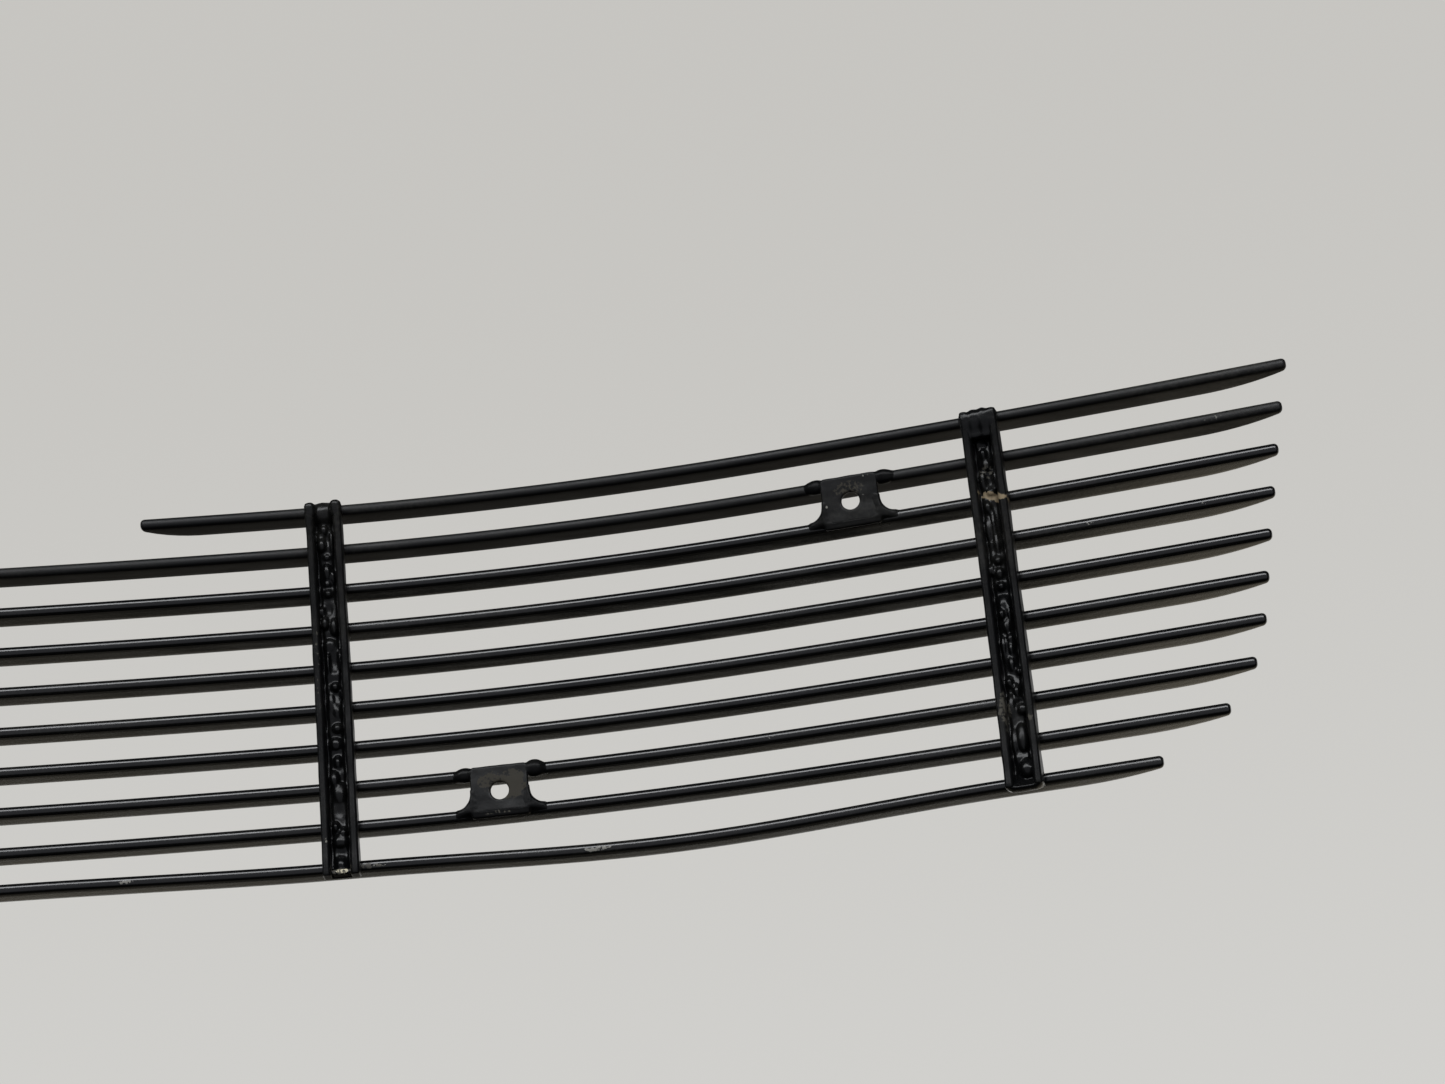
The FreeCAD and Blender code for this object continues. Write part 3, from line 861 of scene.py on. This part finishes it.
def bar_material(node, row):
    marks = [bar_mark(s, row, *rest) for s, *rest in BAR_MARKS.get(row, ())]
    dust = HEAVY_DUST if row in DUSTY_ROWS else LIGHT_DUST
    finish = DULL if row in DULL_ROWS else CLEAN
    return coat("powder_coat_" + node, dust=dust, marks=marks, **finish)


def channel_mark(side, place, centre, size, tilt, grain, cover, colour):
    at = tuple(on_channel(side, place)(np.array([centre]))[0])
    heading = plan_point(side * CHANNEL_AT[place])[2]
    return mark_on(at, size, (heading, tilt), grain, cover), colour


# Marks on a channel: centre and half-sizes in its straight frame, tilt, grain, cover, colour
CHANNEL_MARKS = {
    "outer": (((-1.6, 5.5, 39.0), (9.5, 9.0, 2.3), -0.42, 1.8, 1.0, TAN_SMEAR),
              ((0.0, 5.0, 49.0), (8.5, 8.0, 6.5), 0.0, 1.2, 0.45, DUST),
              ((4.0, 6.0, -46.0), (4.5, 7.0, 15.0), 0.0, 1.3, 0.60, DUST),
              ((-5.4, 8.0, -49.5), (1.8, 3.0, 3.0), 0.0, 1.2, 0.60, DUST)),
    "inner": (((0.0, 5.0, CHANNEL_BOTTOM + 2.0), (3.5, 2.5, 1.1), 0.0, 2.5, 1.3, BARE_METAL),
              ((0.0, 6.0, CHANNEL_BOTTOM + 2.5), (11.0, 6.0, 4.5), 0.0, 2.0, 0.55, DUST),
              ((5.2, 8.0, CHANNEL_BOTTOM + 14.0), (1.0, 1.5, 2.6), 0.0, 1.0, 0.5, GREY_SCUFF),
              ((5.0, 8.0, 5.0), (2.0, 2.0, 40.0), 0.0, 1.2, 0.35, DUST)),
}


def channel_marks(side, place):
    return [channel_mark(side, place, *mark) for mark in CHANNEL_MARKS[place]]


def channel_material(node, side, place):
    return coat("powder_coat_" + node, marks=channel_marks(side, place), **CHANNEL_FINISH)


def bead_material(node, side, place):
    return coat("glossy_coat_" + node, marks=channel_marks(side, place), **BEAD_FINISH)


# Marks on a tab: centre (towards the guard's outer end, out of the back, up), half-sizes,
# grain, cover, colour
TAB_MARKS = {
    "lower_inner": (((4.5, 2.0, 1.5), (8.5, 3.0, 9.5), 2.0, 0.95, TAB_DUST),
                    ((-4.0, 2.0, 4.0), (7.5, 3.0, 6.5), 1.2, 0.7, TAB_DUST),
                    ((0.0, 2.0, -9.0), (12.0, 3.0, 2.0), 1.0, 0.4, DUST)),
    "upper_outer": (((7.5, 2.0, 9.0), (5.0, 3.0, 1.6), 0.9, 0.28, GREY_SCUFF),
                    ((-9.4, 2.0, -1.2), (0.55, 2.0, 0.75), 1.0, 1.1, GREY_SCUFF),
                    ((5.5, 2.0, 1.0), (1.6, 2.0, 1.6), 0.8, 0.35, GREY_SCUFF),
                    ((0.0, 2.0, 5.0), (11.0, 3.0, 6.0), 1.1, 0.55, TAB_DUST)),
}


def tab_material(node, side, name, finish):
    marks = []
    for (out, back, up), size, grain, cover, colour in TAB_MARKS[name]:
        at = tuple(on_tab(side, name)(np.array([[side * out, back, up]]))[0])
        heading = plan_point(side * TAB_PLACES[name][0])[2]
        marks.append((mark_on(at, size, (heading, 0.0), grain, cover), colour))
    return coat("dusty_coat_" + node, marks=marks, **finish)


def finish_piece(piece, node, material):
    piece.data.materials.append(material)
    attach(piece, "root")
    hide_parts(node)


# Stage, light and camera

FLOOR_Z = -0.33
FLOOR_SEGMENTS = 96
STAGE_RADIUS = 9.0
FLOOR_COLOUR = rgba(0.13, 0.129, 0.124)
FLOOR_GLOW = rgba(0.54, 0.535, 0.52)
SURROUND_LOW = rgba(0.66, 0.655, 0.635)
SURROUND_HIGH = rgba(0.57, 0.56, 0.535)
CAMERA_AT = Vector((np.array([-154.2, 1132.0, -332.1]) - ORIGIN) * MM)
CAMERA_FORWARD = Vector((-0.10788, -0.94157, 0.31907))
CAMERA_UP = Vector((-0.05918, 0.32646, 0.94336))
CAMERA_LENS = 74.74
SENSOR_WIDTH = 36.0


def camera():
    data = bpy.data.cameras.new("camera")
    data.lens = CAMERA_LENS
    data.sensor_width = SENSOR_WIDTH
    data.clip_start = 0.02
    data.clip_end = 40.0
    made = bpy.data.objects.new("camera", data)
    back = -CAMERA_FORWARD.normalized()
    right = CAMERA_UP.cross(back).normalized()
    turn = Matrix((right, back.cross(right), back)).transposed()
    made.matrix_world = Matrix.Translation(CAMERA_AT) @ turn.to_4x4()
    bpy.context.scene.collection.objects.link(made)
    bpy.context.scene.camera = made


def floor():
    """Plain pale disc with a glow of its own that only the camera sees."""
    turns = [2 * math.pi * i / FLOOR_SEGMENTS for i in range(FLOOR_SEGMENTS)]
    rim = [(STAGE_RADIUS * math.cos(a), STAGE_RADIUS * math.sin(a), FLOOR_Z) for a in turns]
    made = new_piece("floor", np.array(rim) / MM, [tuple(range(FLOOR_SEGMENTS))], (0,))
    if made.data.polygons[0].normal.z < 0:
        made.data.flip_normals()
    nodes = MaterialNodes("pale_floor")
    nodes.shader.inputs["Base Color"].default_value = FLOOR_COLOUR
    nodes.shader.inputs["Roughness"].default_value = 0.9
    nodes.shader.inputs["Emission Color"].default_value = FLOOR_GLOW
    nodes.shader.inputs["Emission Strength"].default_value = 1.0
    made.data.materials.append(nodes.material)
    made.visible_glossy = False
    made.visible_diffuse = False


def backdrop():
    """Pale surround that only the camera sees, so it doesn't light the guard or mirror in it."""
    work = bmesh.new()
    bmesh.ops.create_icosphere(work, subdivisions=5, radius=STAGE_RADIUS)
    mesh = bpy.data.meshes.new("backdrop")
    work.to_mesh(mesh)
    work.free()
    made = bpy.data.objects.new("backdrop", mesh)
    bpy.context.scene.collection.objects.link(made)
    for ray in ("visible_glossy", "visible_diffuse", "visible_transmission", "visible_shadow"):
        setattr(made, ray, False)
    nodes = MaterialNodes("pale_surround")
    height = nodes.add("ShaderNodeSeparateXYZ", {0: nodes.place}).outputs["Z"]
    rise = nodes.ramp(height, -0.5, 4.5)
    colour = nodes.mix(rise, SURROUND_LOW, SURROUND_HIGH)
    glow = nodes.add("ShaderNodeEmission", {"Color": colour, "Strength": 1.0})
    nodes.tree.links.new(glow.outputs[0], nodes.tree.nodes["Material Output"].inputs["Surface"])
    made.data.materials.append(nodes.material)


LAMP_AT = Vector((0.5, 1.75, 1.50))
LAMP_AIM = Vector((0, 0, 0.075))
LAMP_SIZE = (4.6, 0.75)
LAMP_RADIANCE = 8.0
LAMP_COLOUR = (0.96, 0.98, 1.0)


def lamp():
    """Long soft panel over and behind the guard; the radiance is the brightness of its face."""
    data = bpy.data.lights.new("long_lamp", "AREA")
    data.shape = "RECTANGLE"
    data.size, data.size_y = LAMP_SIZE
    data.energy = LAMP_RADIANCE * math.pi * LAMP_SIZE[0] * LAMP_SIZE[1]
    data.color = LAMP_COLOUR
    made = bpy.data.objects.new("long_lamp", data)
    made.location = LAMP_AT
    made.rotation_euler = (LAMP_AIM - LAMP_AT).to_track_quat("-Z", "Y").to_euler()
    made.visible_camera = False
    bpy.context.scene.collection.objects.link(made)


# Brightness of the room in each direction from the guard
ROOM_BASE = (0.016, 0.016, 0.015)
BEHIND = (0.40, 0.41, 0.45)
OVER_FRONT = (0.13, 0.13, 0.13)
UNDER_FRONT = (0.072, 0.065, 0.051)
LOW_HORIZON = (0.11, 0.10, 0.08)
FRONT = (0.7, 0.7, 0.69)
FRONT_OUTER = (0.26, 0.232, 0.18)
FRONT_INNER = (0.08, 0.072, 0.057)


def world():
    """Dark room, paler behind the guard and, in bands by height, in front of it."""
    made = bpy.data.worlds.new("room")
    bpy.context.scene.world = made
    made.use_nodes = True
    nodes = Nodes(made.node_tree, "Generated")
    x, y, z = nodes.add("ShaderNodeSeparateXYZ", {0: nodes.place}).outputs
    in_front = nodes.ramp(y, -0.05, -0.5)
    low_front = nodes.maths("MULTIPLY", in_front, nodes.ramp(z, 0.1, -0.1))
    level_front = nodes.maths("MULTIPLY", in_front, nodes.ramp(z, -0.16, -0.05))
    total = ROOM_BASE
    for share, where, colour in (
            (nodes.ramp(y, 0.42, 0.85), nodes.ramp(z, -0.95, -0.5), BEHIND),
            (in_front, nodes.ramp(z, 0.3, 0.8), OVER_FRONT),
            (level_front, nodes.ramp(z, 0.34, 0.22), FRONT),
            (in_front, nodes.ramp(z, -0.40, -0.70), UNDER_FRONT),
            (low_front, nodes.ramp(z, -0.29, -0.235), LOW_HORIZON),
            (low_front, nodes.ramp(x, -0.18, -0.30), FRONT_OUTER),
            (low_front, nodes.ramp(x, 0.0, 0.2), FRONT_INNER)):
        mask = nodes.maths("MULTIPLY", share, where)
        total = nodes.add("ShaderNodeVectorMath", {0: mask, 1: colour, 2: total},
                          operation="MULTIPLY_ADD").outputs[0]
    nodes.tree.links.new(total, nodes.tree.nodes["Background"].inputs["Color"])


def stage():
    camera()
    floor()
    backdrop()
    world()
    lamp()
    bpy.context.scene.view_settings.view_transform = "Standard"


stage()
all_bars()
for side_name in SIDES:
    for place in CHANNEL_AT:
        channel(side_name, place)
        channel_beads(side_name, place)
    for tab_name in TAB_PLACES:
        tab(side_name, tab_name)
        tab_beads(side_name, tab_name)
